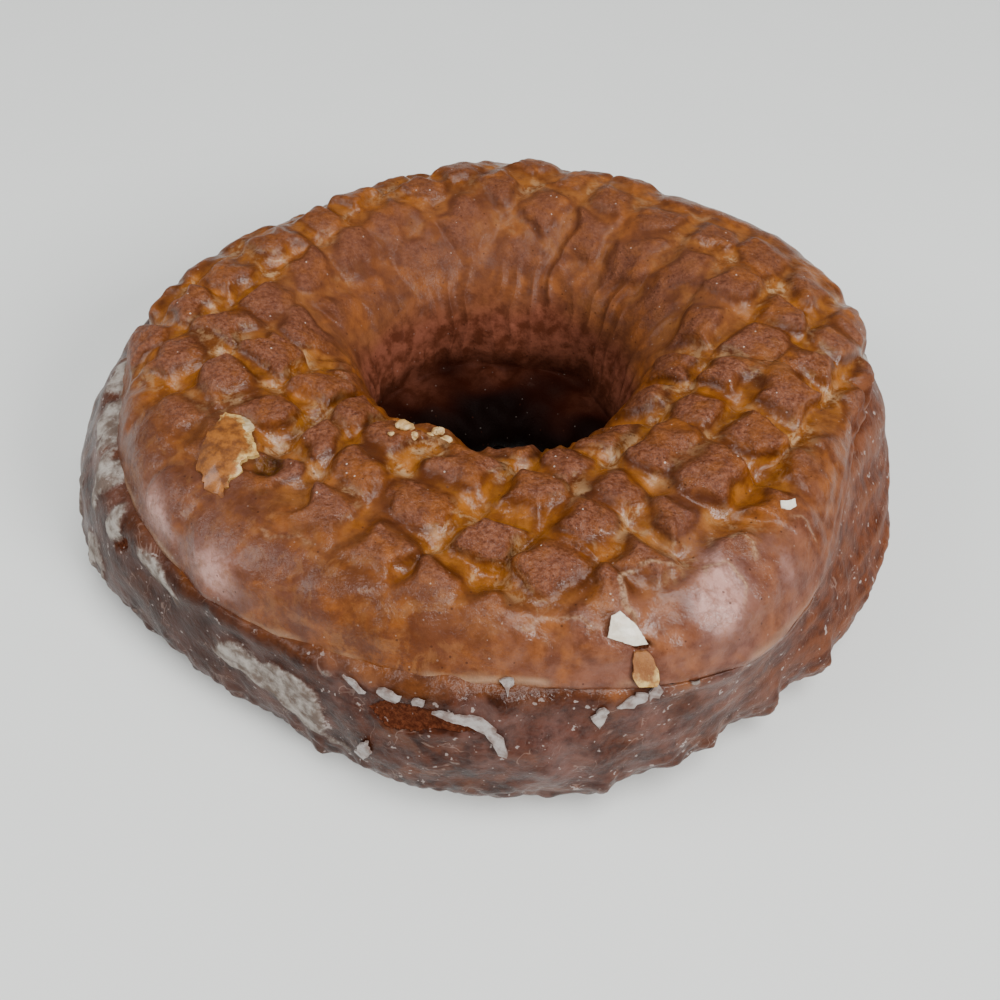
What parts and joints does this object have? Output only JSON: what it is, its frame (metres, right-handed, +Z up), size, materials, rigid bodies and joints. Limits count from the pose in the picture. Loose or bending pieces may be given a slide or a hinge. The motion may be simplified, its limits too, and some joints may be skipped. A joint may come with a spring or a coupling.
{
  "type": "glazed pumpkin cake doughnut",
  "caption": "Glazed pumpkin cake doughnut, a plump ring with a knobbed brown top and cracked sugar glaze.",
  "frame": {"origin": "middle of the flat base, under the middle of the doughnut's box", "axes": "+Z up; the side seen in the picture's foreground faces -Y; +X is to its right"},
  "size_m": [0.1048, 0.0945, 0.03],
  "materials": {
    "glazed_crust": "browned crust under a thin clear sugar glaze, satin to glossy",
    "dried_glaze": "dried white sugar glaze, matte and cracked",
    "torn_crumb": "torn golden crumb, dry and rough"
  },
  "bodies": {
    "root": {"doughnut": "glazed_crust"}
  },
  "joints": []
}
